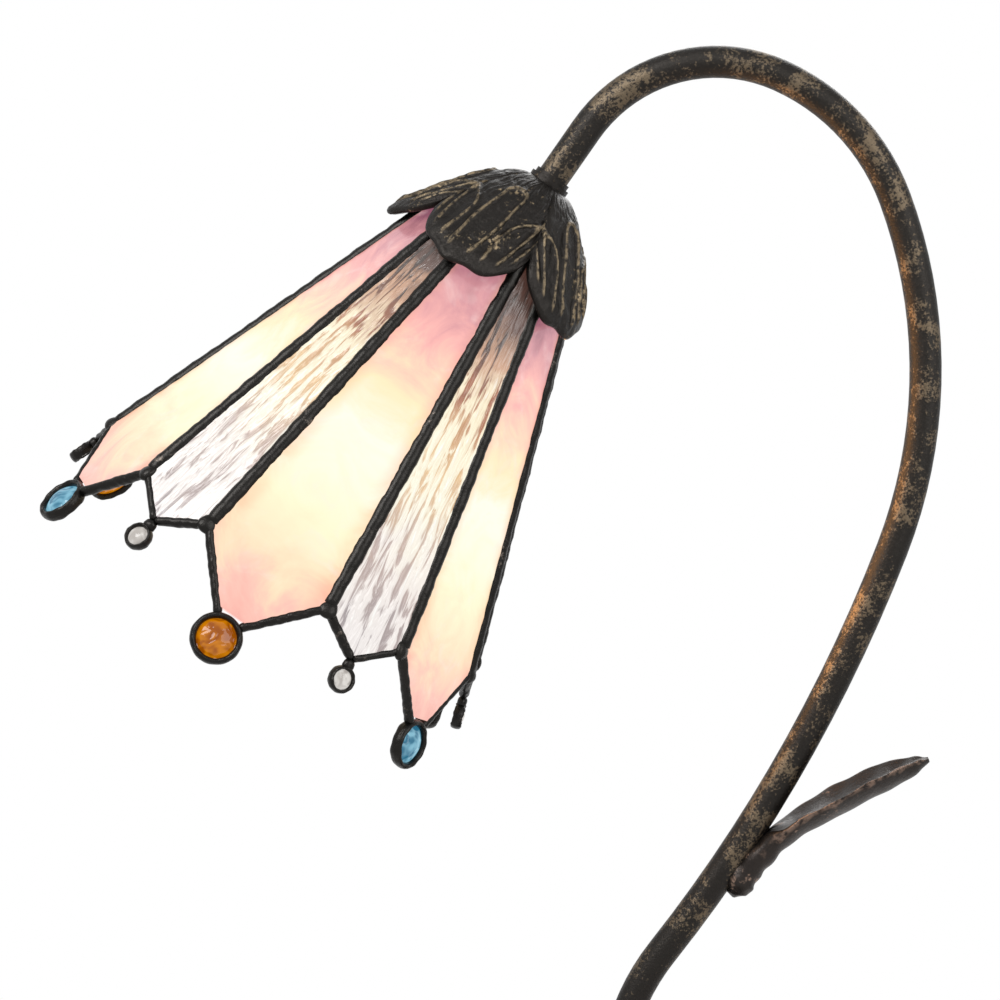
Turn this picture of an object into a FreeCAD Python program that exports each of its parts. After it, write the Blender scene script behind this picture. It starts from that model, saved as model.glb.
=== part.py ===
import FreeCAD, Part
import math
import os
import re
import Sketcher
from FreeCAD import Placement, Rotation, Vector

os.makedirs("parts", exist_ok=True)
doc = FreeCAD.newDocument("tulip_lamp")
sheet = doc.addObject("Spreadsheet::Sheet", "sizes")

# Driving dimensions, in millimetres and degrees. Depths in the shade run along its axis from the
# collar, where the bent tube meets the petal cap. Heights in the base run up from the table.
driving = {
    # bent stem tube, listed from the collar over the crook and down to the base
    "tube_radius": 6.35,
    "tube_wall": 1.45,
    "shade_tilt": 55.0,
    "collar_straight": 26.4,
    "crook_radius": 62.3,
    "crook_turn": 79.0,
    "crown_radius": 86.5,
    "crown_turn": 45.2,
    "back_radius": 198.3,
    "back_turn": 41.1,
    "reach_radius": 634.0,
    "reach_turn": 17.1,
    "foot_radius": 95.0,
    "foot_straight": 14.0,
    # threaded nipples, lock nuts and the lead inside them
    "thread_clearance": 0.05,
    "nipple_bore": 3.2,
    "nipple_grip": 12.0,
    "lead_radius": 2.6,
    "nut_flats": 14.0,
    "nut_height": 3.0,
    # collar ring and cast petal cap
    "ring_wall": 2.1,
    "ring_bead_wall": 1.0,
    "ring_height": 4.0,
    "cap_wall": 1.8,
    "petal_count": 5,
    "petal_clearance": 7.07,
    "petal_notch": 11.9,
    "dome_clearance": 4.7,
    "petal_twist": 16.0,
    "petal_depth": 44.5,
    # glass cone: wide and narrow flat panels in turn, with drawn-out tips
    "panel_pairs": 6,
    "cone_angle": 20.7,
    "wide_half": 18.0,
    "shoulder_radius": 87.8,
    "shoulder_depth": 176.2,
    "glass_top": 24.0,
    "glass_thickness": 3.0,
    "glass_inset": 0.8,
    "wide_tip_length": 28.2,
    "narrow_tip_length": 11.6,
    "tip_flat_half": 5.75,
    # solder seams and rims
    "seam_width": 5.6,
    "seam_height": 5.0,
    "seam_setback": 2.4,
    "rim_width": 3.4,
    "rim_height": 4.2,
    "node_radius": 3.4,
    # glass jewels and their bezels
    "jewel_radius": 7.5,
    "jewel_rise": 3.4,
    "jewel_edge": 0.4,
    "jewel_gap": 3.1,
    "bezel_radius": 10.0,
    "bezel_height": 5.0,
    "drop_radius": 4.0,
    "drop_rise": 2.6,
    "drop_gap": 7.9,
    "drop_bezel_radius": 5.4,
    "drop_bezel_height": 4.4,
    "bezel_lip": 0.6,
    # plate that carries the glass, and the spacer above it
    "plate_drop": 0.6,
    "plate_thickness": 1.5,
    "spacer_radius": 7.0,
    # screw-base lampholder
    "holder_sheet": 1.0,
    "hub_radius": 8.0,
    "holder_cap_height": 17.0,
    "holder_body_gap": 0.85,
    "holder_body_start": 10.0,
    "holder_body_tail": 4.0,
    "holder_shell_height": 33.0,
    "seat_gap": 0.3,
    "liner_wall": 1.2,
    "liner_gap": 0.25,
    "screw_shell_wall": 0.7,
    "screw_shell_height": 22.0,
    "contact_radius": 4.0,
    "contact_height": 1.6,
    "screw_head_radius": 2.4,
    "screw_shank_radius": 1.5,
    "screw_head_height": 1.2,
    "screw_inset": 3.0,
    # turn key
    "key_inset": 4.0,
    "key_radius": 2.0,
    "key_clearance": 0.06,
    "key_start": 6.0,
    "paddle_gap": 3.4,
    "paddle_length": 9.0,
    "paddle_width": 9.0,
    "paddle_thickness": 3.2,
    # screw-in globe bulb
    "bulb_thread_radius": 13.0,
    "bulb_thread_gap": 0.3,
    "bulb_shell_wall": 0.6,
    "bulb_shell_height": 23.5,
    "bulb_tip_radius": 4.2,
    "bulb_tip_height": 2.3,
    "bulb_insulator_height": 3.2,
    "bulb_radius": 25.0,
    "bulb_wall": 1.0,
    "neck_length": 9.0,
    "flare_rise": 13.0,
    "flare_radius": 20.5,
    "filament_radius": 0.8,
    "filament_ring": 8.0,
    "filament_height": 24.0,
    "mount_height": 22.0,
    "mount_radius": 2.4,
    # cast leaf on the stem
    "leaf_station": 116.0,
    "stalk_offset": 2.25,
    "stalk_heading": 66.0,
    "stalk_half": 6.6,
    "stalk_thickness": 11.0,
    "stalk_length": 16.0,
    "stalk_radius": 24.0,
    "leaf_heading": 29.0,
    "leaf_length": 68.6,
    "leaf_half": 16.5,
    "leaf_thickness": 2.0,
    "leaf_edge": 1.2,
    "leaf_cup": 6.0,
    "leaf_droop": 5.0,
    # base
    "base_radius": 75.0,
    "base_height": 50.0,
    "base_wall": 3.5,
    "skirt_height": 15.0,
    "neck_radius": 11.5,
    "neck_flare": 5.0,
    "tube_seat": 8.0,
    "seat_clearance": 0.1,
    "boss_radius": 13.0,
    "felt_thickness": 1.5,
    "felt_margin": 3.0,
    "cover_thickness": 1.2,
    "cover_clearance": 0.4,
    "weight_radius": 50.0,
    "weight_thickness": 12.0,
    "washer_radius": 16.0,
    "washer_thickness": 1.5,
    "base_nut_height": 4.0,
    "thread_tail": 0.5,
    "inlet_height": 9.0,
    "inlet_bore": 3.5,
    "bushing_wall": 1.2,
    "bushing_flange": 1.6,
    "bushing_flange_radius": 6.2,
    "block_length": 18.0,
    "block_width": 10.0,
    "block_height": 5.0,
    "block_offset": 30.0,
}

# Sizes that follow from the driving ones, each written as a formula in the sheet.
derived = {
    # tube, collar ring and nipples
    "tube_bore": "tube_radius - tube_wall",
    "thread_radius": "tube_bore - thread_clearance",
    "thread_hole": "thread_radius + thread_clearance",
    "ring_bore": "tube_radius + thread_clearance",
    "ring_bead_radius": "ring_bore + ring_bead_wall",
    "ring_radius": "ring_bore + ring_wall",
    # heights in the base, from the table up
    "cover_top": "felt_thickness + cover_thickness",
    "thread_bottom": "cover_top + seat_gap",
    "base_nut_bottom": "thread_bottom + thread_tail",
    "washer_bottom": "base_nut_bottom + base_nut_height",
    "weight_bottom": "washer_bottom + washer_thickness",
    "boss_bottom": "weight_bottom + weight_thickness",
    "tube_bottom": "base_height - tube_seat",
    "thread_top": "tube_bottom + nipple_grip",
    "cover_radius": "base_radius - base_wall - cover_clearance",
    "bushing_radius": "inlet_bore + bushing_wall",
    # depths in the shade, from the collar along its axis
    "plate_top": "glass_top + plate_drop",
    "plate_bottom": "plate_top + plate_thickness",
    "holder_top": "plate_bottom + nut_height",
    "holder_cap_end": "holder_top + holder_cap_height",
    "body_top": "holder_top + holder_body_start",
    "key_depth": "holder_cap_end + key_inset",
    "body_end": "key_depth + holder_body_tail",
    "screw_depth": "holder_cap_end - screw_inset",
    "shell_start": "holder_cap_end + seat_gap",
    "shell_end": "shell_start + holder_shell_height",
    "contact_end": "body_end + contact_height",
    "bulb_tip": "contact_end + seat_gap",
    "bulb_tip_end": "bulb_tip + bulb_tip_height",
    "bulb_insulator_top": "bulb_tip_end + thread_clearance",
    "bulb_shell_top": "bulb_insulator_top + bulb_insulator_height",
    "bulb_shell_end": "bulb_shell_top + bulb_shell_height",
    "nipple_end": "holder_top + nut_height * 2",
    "seam_top": "glass_top + seam_setback",
    "wide_tip_depth": "shoulder_depth + wide_tip_length",
    "narrow_tip_depth": "shoulder_depth + narrow_tip_length",
    "jewel_depth": "wide_tip_depth + jewel_gap",
    "drop_depth": "narrow_tip_depth + drop_gap",
    # radii in the lampholder, from the bulb's thread outwards
    "screw_shell_inner": "bulb_thread_radius + bulb_thread_gap",
    "liner_inner": "screw_shell_inner + screw_shell_wall + liner_gap",
    "liner_outer": "liner_inner + liner_wall",
    "shell_inner": "liner_outer + seat_gap / 2",
    "holder_radius": "shell_inner + holder_sheet",
    "holder_body_radius": "liner_inner - holder_body_gap",
    "key_reach": "holder_radius + paddle_gap + paddle_length",
    "bulb_shell_inner": "bulb_thread_radius - bulb_shell_wall",
    # the glass cone's point and radii, and each panel's half angle and lean
    "apex": "shoulder_depth - shoulder_radius / tan(cone_angle)",
    "glass_top_radius": "(glass_top - apex) * tan(cone_angle)",
    "petal_reach": "(petal_depth - apex) * tan(cone_angle) + petal_clearance + cap_wall",
    "narrow_half": "180 / panel_pairs - wide_half",
    "wide_lean": "atan(tan(cone_angle) * cos(wide_half))",
    "narrow_lean": "atan(tan(cone_angle) * cos(narrow_half))",
    # the stem's first bend, which leaves the shade at its tilt
    "foot_turn": "crook_turn + crown_turn + back_turn + reach_turn - 90 - shade_tilt",
    "leaf_standoff": "tube_radius + stalk_offset",
}
formulas = {alias: f"={formula}" for alias, formula in derived.items()}
for row, (alias, entry) in enumerate({**driving, **formulas}.items(), start=1):
    sheet.set(f"A{row}", alias)
    sheet.set(f"B{row}", str(entry))
    sheet.setAlias(f"B{row}", alias)
doc.recompute()

functions = {"sin", "cos", "tan", "atan", "sqrt"}


def bind(text):
    # each alias in a formula is looked up in the sheet
    return re.sub(
        r"[a-z][a-z_]*[a-z]",
        lambda word: word[0] if word[0] in functions else f"sizes.{word[0]}",
        text,
    )


def value(text):
    return float(sheet.evalExpression(bind(text)))


pieces = []


def keep(piece, name, place=Placement()):
    piece.Label = name
    piece.Placement = place
    pieces.append(piece)
    return piece


def outlined_body(name, plane, points):
    # a body whose sketch is a closed polygon, each corner dimensioned from the origin
    body = doc.addObject("PartDesign::Body", name)
    sketch = body.newObject("Sketcher::SketchObject", name + "_outline")
    support = next(f for f in body.Origin.OriginFeatures if f.Role == plane)
    sketch.AttachmentSupport = [(support, "")]
    sketch.MapMode = "FlatFace"
    corners = [Vector(value(x), value(y), 0) for x, y in points]
    for i, corner in enumerate(corners):
        sketch.addGeometry(Part.LineSegment(corner, corners[(i + 1) % len(corners)]), False)
    for i, (x, y) in enumerate(points):
        sketch.addConstraint(Sketcher.Constraint("Coincident", i, 2, (i + 1) % len(points), 1))
        for kind, text in (("DistanceX", x), ("DistanceY", y)):
            rule = Sketcher.Constraint(kind, -1, 1, i, 1, value(text))
            number = sketch.addConstraint(rule)
            sketch.setExpression(f"Constraints[{number}]", bind(text))
    return body, sketch


def turned_body(name, points):
    # corners are (radius, height along the turning axis)
    body, sketch = outlined_body(name, "XZ_Plane", points)
    turn = body.newObject("PartDesign::Revolution", name + "_turn")
    turn.Profile = sketch
    turn.ReferenceAxis = (sketch, ["V_Axis"])
    turn.Angle = 360
    return body


def turned(name, points, place=Placement()):
    return keep(turned_body(name, points), name, place)


def turned_shape(stops):
    # a closed outline of (radius, height) stops; a stop of two pairs is an arc by way of the first
    spots, edges = [], []
    for stop in stops:
        spots.append([Vector(r, 0, z) for r, z in (stop if isinstance(stop[0], tuple) else (stop,))])
    for before, after in zip(spots, spots[1:] + spots[:1]):
        start, end = before[-1], after[-1]
        if len(after) == 2:
            edges.append(Part.Arc(start, after[0], end).toShape())
        else:
            edges.append(Part.LineSegment(start, end).toShape())
    face = Part.Face(Part.Wire(edges))
    return face.revolve(Vector(0, 0, 0), Vector(0, 0, 1), 360)


def made(name, shape, place=Placement()):
    piece = doc.addObject("Part::Feature", name)
    piece.Shape = shape
    return keep(piece, name, place)


def drilled(name, blank, tools):
    # blank less its holes
    cut = doc.addObject("Part::Cut", name)
    cut.Base = blank
    if len(tools) == 1:
        cut.Tool = tools[0]
    else:
        joined = doc.addObject("Part::MultiFuse", name + "_holes")
        joined.Shapes = tools
        cut.Tool = joined
    return cut


def cylinder(name, radius, height, place):
    rod = doc.addObject("Part::Cylinder", name)
    rod.setExpression("Radius", bind(radius))
    rod.setExpression("Height", bind(height))
    rod.Placement = place
    return rod


def hex_nut(name, bottom, height, place):
    # hexagonal prism across its flats, bored for the thread
    prism = doc.addObject("Part::Prism", name + "_blank")
    prism.Polygon = 6
    prism.setExpression("Circumradius", bind("nut_flats / 2 / cos(30)"))
    prism.setExpression("Height", bind(height))
    bore = cylinder(name + "_bore", "thread_hole", height, Placement())
    nut = drilled(name, prism, [bore])
    return keep(nut, name, place * Placement(Vector(0, 0, value(bottom)), Rotation()))


def panel_run(depth, kind):
    # distance from the cone's point down the middle of a wide or narrow panel
    return f"(({depth} - apex) / cos({kind}_lean))"


def panel_side(depth, kind):
    # half width of a panel, from its middle to the seam
    return f"(({depth} - apex) * tan(cone_angle) * sin({kind}_half))"


# Route of the stem: an upright foot, a bend outwards, then four bends back over to the collar.
bends = [
    ("foot_radius", "-foot_turn"),
    ("reach_radius", "reach_turn"),
    ("back_radius", "back_turn"),
    ("crown_radius", "crown_turn"),
    ("crook_radius", "crook_turn"),
]


def stem_route(before, after):
    # edges of the centreline, lengthened by before at the foot and after at the collar
    spot = Vector(0, 0, value("tube_bottom") - before)
    heading = math.pi / 2
    edges = []

    def ahead(length):
        return spot + Vector(math.cos(heading), 0, math.sin(heading)) * length

    end = ahead(value("foot_straight") + before)
    edges.append(Part.LineSegment(spot, end).toShape())
    spot = end
    for radius_text, turn_text in bends:
        radius, turn = value(radius_text), math.radians(value(turn_text))
        hand = math.copysign(1, turn)
        centre = spot + Vector(-math.sin(heading), 0, math.cos(heading)) * hand * radius
        arm = spot - centre
        middle, end = (
            centre + Rotation(Vector(0, -1, 0), math.degrees(part)).multVec(arm)
            for part in (turn / 2, turn)
        )
        edges.append(Part.Arc(spot, middle, end).toShape())
        spot = end
        heading += turn
    end = ahead(value("collar_straight") + after)
    edges.append(Part.LineSegment(spot, end).toShape())
    return edges, ahead(value("collar_straight"))


def pipe(edges, radius):
    start = edges[0].Vertexes[0].Point
    ring = Part.Wire(Part.Circle(start, Vector(0, 0, 1), radius).toShape())
    return Part.Wire(edges).makePipeShell([ring], True, False)


stem_edges, collar = stem_route(0, 0)
tube_outside = pipe(stem_edges, value("tube_radius"))
tube_inside = pipe(stem_edges, value("tube_bore"))
made("stem_tube", tube_outside.cut(tube_inside))
stem_length = sum(edge.Length for edge in stem_edges)
print("stem length", round(stem_length, 1), "collar", collar)
print("tube volume ratio", tube_outside.Volume / (math.pi * value("tube_radius") ** 2 * stem_length))

lead_edges = stem_route(value("tube_bottom - base_nut_bottom"), value("nipple_end"))[0]
made("stem_lead", pipe(lead_edges, value("lead_radius")))

# Shade frame: +Z down the shade's axis, +X towards the viewer's side (the row's -Y).
tilt = math.radians(value("shade_tilt"))
shade_axis = Vector(-math.cos(tilt), 0, -math.sin(tilt))
shade = Placement(collar, Rotation(Vector(0, -1, 0), Vector(), shade_axis, "ZXY"))


def around(azimuth, spot=Vector()):
    # a place in the shade frame turned about the shade's axis
    return Placement(Vector(), Rotation(Vector(0, 0, 1), azimuth)) * Placement(spot, Rotation())


# Collar ring round the tube's end.
turned("collar_ring", [
    ("ring_bore", "-ring_height"),
    ("ring_bead_radius", "-ring_height"),
    ("ring_bead_radius", "-ring_height / 2"),
    ("ring_radius", "-ring_height / 2"),
    ("ring_radius", "0"),
    ("ring_bore", "0"),
], shade)

# Petal cap: a domed shell of revolution, trimmed to round petals.
wall, hole, crown = value("cap_wall"), value("thread_hole"), value("ring_radius")
reach, depth = value("petal_reach"), value("petal_depth")
waist, waist_depth = reach / 2, depth * 0.24
shoulder_out, shoulder_down = crown + (waist - crown) * 0.57, depth * 0.09
over_glass, glass_line = value("glass_top_radius + dome_clearance"), value("glass_top")
dome = turned_shape([
    (hole, 0),
    (crown, 0),
    ((shoulder_out, shoulder_down), (waist, waist_depth)),
    ((over_glass, glass_line), (reach, depth)),
    (reach - wall, depth),
    ((over_glass - wall * 0.78, glass_line + wall * 0.74), (waist - wall * 0.7, waist_depth + wall * 0.8)),
    ((shoulder_out - wall * 1.39, shoulder_down + wall * 0.8), (crown - wall * 0.56, wall)),
    (hole, wall),
])
petals, notch = int(value("petal_count")), value("petal_reach - petal_notch")
step = 360 / petals
petal_edges = []
for number in range(petals):
    middle = number * step + value("petal_twist")
    spots = [
        Rotation(Vector(0, 0, 1), middle + turn).multVec(Vector(length, 0, -wall))
        for length, turn in ((notch, -step / 2), (reach, 0), (notch, step / 2))
    ]
    petal_edges.append(Part.Arc(*spots).toShape())
petal_mask = Part.Face(Part.Wire(petal_edges)).extrude(Vector(0, 0, depth + 2 * wall))
made("petal_cap", dome.common(petal_mask), shade)

# Parts on the shade's axis above the lampholder.
turned("shade_nipple", [
    ("nipple_bore", "-nipple_grip"),
    ("thread_radius", "-nipple_grip"),
    ("thread_radius", "nipple_end"),
    ("nipple_bore", "nipple_end"),
], shade)
turned("spacer_sleeve", [
    ("thread_hole", "cap_wall"),
    ("spacer_radius", "cap_wall"),
    ("spacer_radius", "plate_top"),
    ("thread_hole", "plate_top"),
], shade)
plate_radius = "(plate_top - apex) * tan(cone_angle) * cos(wide_half) - glass_thickness / 2 / cos(wide_lean)"
turned("shade_plate", [
    ("thread_hole", "plate_top"),
    (plate_radius, "plate_top"),
    (plate_radius, "plate_bottom"),
    ("thread_hole", "plate_bottom"),
], shade)
hex_nut("shade_lock_nut", "plate_bottom", "nut_height", shade)


def panel_place(azimuth, kind):
    # X across the panel, Y down its middle from the cone's point, Z outwards
    lean = math.radians(value(f"{kind}_lean"))
    angle = math.radians(azimuth)
    across = Vector(-math.sin(angle), math.cos(angle), 0)
    middle = Vector(math.sin(lean) * math.cos(angle), math.sin(lean) * math.sin(angle), math.cos(lean))
    return Placement(Vector(0, 0, value("apex")), Rotation(across, middle, across.cross(middle), "XYZ"))


def panel(name, kind, tip_corners, azimuth):
    sides = [
        (f"{panel_side('glass_top', kind)} - glass_inset", panel_run("glass_top", kind)),
        (
            f"{panel_side('shoulder_depth', kind)} - glass_inset",
            f"{panel_run('shoulder_depth', kind)} - glass_inset / 2",
        ),
    ]
    left = [(f"-({x})", y) for x, y in reversed(sides + tip_corners) if x != "0"]
    body, sketch = outlined_body(name, "XY_Plane", sides + tip_corners + left)
    pad = body.newObject("PartDesign::Pad", name + "_pad")
    pad.Profile = sketch
    pad.SideType = "Symmetric"
    pad.setExpression("Length", bind("glass_thickness"))
    return keep(body, name, shade * panel_place(azimuth, kind))


pairs = int(value("panel_pairs"))
turn_step = 360 / pairs
wide_shoulder, wide_shoulder_run = panel_side("shoulder_depth", "wide"), panel_run("shoulder_depth", "wide")
wide_tip_run = panel_run("wide_tip_depth", "wide")
# the wide panel's tip is cut straight where the side of the jewel's bezel begins
cut_run = f"({wide_tip_run} - ({wide_tip_run} - {wide_shoulder_run}) * tip_flat_half / {wide_shoulder})"
narrow_end = f"{panel_run('narrow_tip_depth', 'narrow')} - glass_inset * 2"
wide_panels, narrow_panels = [], []
for number in range(pairs):
    azimuth = number * turn_step
    wide_panels.append(panel(
        f"pink_panel_{number + 1}", "wide", [("tip_flat_half", f"{cut_run} - glass_inset")], azimuth,
    ))
    narrow_panels.append(panel(
        f"clear_panel_{number + 1}", "narrow", [("0", narrow_end)], azimuth + turn_step / 2,
    ))
doc.recompute()


def bar(start, end, outward, width, height):
    # eight-sided bead from start to end
    run = end - start
    side = run.cross(outward).normalize()
    up = side.cross(run).normalize()
    corners = []
    for across, high in ((1, 0.45), (0.55, 1), (-0.55, 1), (-1, 0.45)):
        corners.append(start + side * (across * width / 2) + up * (high * height / 2))
    corners += [start * 2 - corner for corner in corners]
    return Part.Face(Part.makePolygon(corners + corners[:1])).extrude(run)


def puck(centre, outward, radius, height):
    return Part.makeCylinder(radius, height, centre - outward * (height / 2), outward)


def bezel(place, outer, inner, height):
    ring = Part.makeCylinder(outer, height, Vector(0, 0, -height / 2))
    ring = ring.cut(Part.makeCylinder(inner, height, Vector(0, 0, -height / 2)))
    ring.Placement = place
    return ring


def cap_stop(half, foot, top):
    # arc stop for a spherical cap on the axis, from (half, foot) to (0, top)
    height = abs(top - foot)
    ball = (half ** 2 + height ** 2) / (2 * height)
    swing = math.asin(min(1.0, half / ball)) / 2
    rise = math.copysign(height - ball * (1 - math.cos(swing)), top - foot)
    return (ball * math.sin(swing), foot + rise), (0, top)


def jewel_shape(radius, rise, edge):
    # a lens: a domed front and a flatter back that meet at a thin edge
    front = turned_shape([(0, 0), (radius, 0), (radius, edge), cap_stop(radius, edge, rise)])
    back = turned_shape([(0, 0), (radius, 0), (radius, -edge), cap_stop(radius, -edge, -rise * 0.7)])
    return front.fuse(back).removeSplitter()


def largest(shape):
    return max(shape.Solids, key=lambda solid: solid.Volume)


def in_shade(piece):
    # a kept piece's shape, seen from the shade frame
    shape = piece.Shape.copy()
    shape.Placement = shade.inverse() * shape.Placement
    return shape


seam_size = (value("seam_width"), value("seam_height"))
rim_size = (value("rim_width"), value("rim_height"))
wide_frames, narrow_tips = [], []
jewels = {"amber": 0, "blue": 0}
for number in range(pairs):
    azimuth = number * turn_step
    place = panel_place(azimuth, "wide")
    outward = place.Rotation.multVec(Vector(0, 0, 1))
    side_x, side_y = value(wide_shoulder), value(wide_shoulder_run)
    top_x, top_y = value(panel_side("seam_top", "wide")), value(panel_run("seam_top", "wide"))
    flat, flat_y = value("tip_flat_half"), value(cut_run)
    jewel_y = value(panel_run("jewel_depth", "wide"))
    parts = []
    for hand in (-1, 1):
        top, shoulder, corner = (
            place.multVec(Vector(hand * x, y, 0))
            for x, y in ((top_x, top_y), (side_x, side_y), (flat, flat_y))
        )
        seam_azimuth = math.radians(azimuth + hand * value("wide_half"))
        seam_out = Vector(math.cos(seam_azimuth), math.sin(seam_azimuth), 0)
        parts.append(bar(top, shoulder, seam_out, *seam_size))
        parts.append(puck(shoulder, seam_out, value("node_radius"), seam_size[1]))
        jewel_spot = place.multVec(Vector(0, jewel_y, 0))
        rim_end = (corner - jewel_spot).normalize() * value("bezel_radius - rim_width / 2")
        parts.append(bar(shoulder, jewel_spot + rim_end, outward, *rim_size))
    jewel_place = place * Placement(Vector(0, jewel_y, 0), Rotation())
    parts.append(bezel(
        jewel_place, value("bezel_radius"), value("jewel_radius - bezel_lip"), value("bezel_height"),
    ))
    colour = "blue" if number % 2 else "amber"
    jewels[colour] += 1
    lens = jewel_shape(value("jewel_radius"), value("jewel_rise"), value("jewel_edge"))
    made(f"{colour}_jewel_{jewels[colour]}", lens, shade * jewel_place)
    lens.Placement = jewel_place
    neighbours = [narrow_panels[number - 1], wide_panels[number], narrow_panels[number]]
    frame = parts[0].multiFuse(parts[1:]).cut([lens] + [in_shade(p) for p in neighbours])
    wide_frames.append(largest(frame))
    made(f"seam_frame_{number + 1}", wide_frames[-1], shade)

drops = []
for number in range(pairs):
    azimuth = (number + 0.5) * turn_step
    place = panel_place(azimuth, "narrow")
    outward = place.Rotation.multVec(Vector(0, 0, 1))
    side_x = value(panel_side("shoulder_depth", "narrow"))
    side_y = value(panel_run("shoulder_depth", "narrow"))
    tip_y = value(panel_run("narrow_tip_depth", "narrow"))
    drop_y = value(panel_run("drop_depth", "narrow"))
    left, right, tip, drop = (
        place.multVec(Vector(x, y, 0))
        for x, y in ((-side_x, side_y), (side_x, side_y), (0, tip_y), (0, drop_y))
    )
    neck_end = tip + (drop - tip) * (1 - value("drop_radius / drop_gap"))
    parts = [
        bar(left, tip, outward, *rim_size),
        bar(right, tip, outward, *rim_size),
        puck(tip, outward, rim_size[0] / 2, rim_size[1]),
        bar(tip, neck_end, outward, value("drop_bezel_radius"), rim_size[1]),
    ]
    drop_place = place * Placement(Vector(0, drop_y, 0), Rotation())
    parts.append(bezel(
        drop_place, value("drop_bezel_radius"), value("drop_radius - bezel_lip"), value("drop_bezel_height"),
    ))
    lens = jewel_shape(value("drop_radius"), value("drop_rise"), value("jewel_edge"))
    lens.Placement = drop_place
    drops.append(lens)
    tools = [lens, in_shade(narrow_panels[number])]
    tools += [wide_frames[number], wide_frames[(number + 1) % pairs]]
    narrow_tips.append(largest(parts[0].multiFuse(parts[1:]).cut(tools)))
made("tip_frames", Part.makeCompound(narrow_tips), shade)
made("clear_jewels", Part.makeCompound(drops), shade)

# Lampholder.
turned("holder_cap", [
    ("thread_hole", "holder_top"),
    ("hub_radius", "holder_top"),
    ("holder_radius", "holder_top + holder_cap_height / 2"),
    ("holder_radius", "holder_cap_end"),
    ("shell_inner", "holder_cap_end"),
    ("shell_inner", "holder_top + holder_cap_height / 2 + holder_sheet / 2"),
    ("hub_radius - holder_sheet / 2", "holder_top + holder_sheet"),
    ("thread_hole", "holder_top + holder_sheet"),
], shade)
key_spot = shade * Placement(Vector(0, 0, value("key_depth")), Rotation(Vector(0, 1, 0), -90))


def side_hole(name, radius, depth_text, angle, start, length):
    # a rod square to the shade's axis
    place = around(angle) * Placement(
        Vector(value(start), 0, value(depth_text)), Rotation(Vector(0, 1, 0), 90)
    )
    return cylinder(name, radius, length, place)


holder_blank = turned_body("holder_body_blank", [
    ("0", "body_top"),
    ("holder_body_radius", "body_top"),
    ("holder_body_radius", "body_end"),
    ("0", "body_end"),
])
key_hole = side_hole(
    "key_hole", "key_radius + key_clearance", "key_depth", 180, "key_start - seat_gap", "holder_body_radius",
)
screw_holes = [
    side_hole(f"terminal_hole_{i}", "screw_shank_radius", "screw_depth", angle,
              "holder_body_radius - screw_head_radius * 2", "holder_body_radius")
    for i, angle in enumerate((90, -90))
]
keep(drilled("holder_body", holder_blank, [key_hole] + screw_holes), "holder_body", shade)
shell_blank = turned_body("holder_shell_blank", [
    ("shell_inner", "shell_start"),
    ("holder_radius", "shell_start"),
    ("holder_radius", "shell_end"),
    ("shell_inner", "shell_end"),
])
shell_slot = side_hole("shell_slot", "key_radius * 1.5", "key_depth", 180, "holder_body_radius", "holder_radius")
keep(drilled("holder_shell", shell_blank, [shell_slot]), "holder_shell", shade)
liner_blank = turned_body("holder_liner_blank", [
    ("liner_inner", "shell_start"),
    ("liner_outer", "shell_start"),
    ("liner_outer", "shell_end - holder_sheet"),
    ("liner_inner", "shell_end - holder_sheet"),
])
liner_slot = side_hole("liner_slot", "key_radius * 1.5", "key_depth", 180, "key_start", "holder_radius")
keep(drilled("holder_liner", liner_blank, [liner_slot]), "holder_liner", shade)
turned("screw_shell", [
    ("contact_radius * 1.5", "body_end"),
    ("screw_shell_inner + screw_shell_wall", "body_end"),
    ("screw_shell_inner + screw_shell_wall", "body_end + screw_shell_height"),
    ("screw_shell_inner", "body_end + screw_shell_height"),
    ("screw_shell_inner", "body_end + screw_shell_wall"),
    ("contact_radius * 1.5", "body_end + screw_shell_wall"),
], shade)
turned("centre_contact", [
    ("0", "body_end"),
    ("contact_radius", "body_end"),
    ("contact_radius", "body_end + contact_height / 2"),
    ("contact_radius / 2", "contact_end"),
    ("0", "contact_end"),
], shade)
screw_place = [
    around(angle) * Placement(Vector(value("holder_body_radius"), 0, value("screw_depth")),
                              Rotation(Vector(0, 1, 0), 90))
    for angle in (90, -90)
]
terminal_screws = []
for place in screw_place:
    head = Part.makeCylinder(value("screw_head_radius"), value("screw_head_height"))
    shank_length = value("screw_head_radius * 2")
    shank = Part.makeCylinder(value("screw_shank_radius"), shank_length, Vector(0, 0, -shank_length))
    screw = head.fuse(shank)
    screw.Placement = place
    terminal_screws.append(screw)
made("terminal_screws", Part.makeCompound(terminal_screws), shade)

# Turn key: a round shaft into the holder body, with a flat paddle outside the shell.
key_length = value("key_reach - key_start")
key_shaft = Part.makeCylinder(value("key_radius"), key_length, Vector(0, 0, value("key_start")))
paddle_size = (value("paddle_width"), value("paddle_thickness"), value("paddle_length"))
paddle = Part.makeBox(*paddle_size, Vector(
    -paddle_size[0] / 2, -paddle_size[1] / 2, value("key_reach") - paddle_size[2],
))
paddle = paddle.makeFillet(paddle_size[1] * 0.4, [
    edge for edge in paddle.Edges if abs(edge.tangentAt(0).z) > 0.9
])
made("switch_key", key_shaft.fuse(paddle), key_spot)

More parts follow.
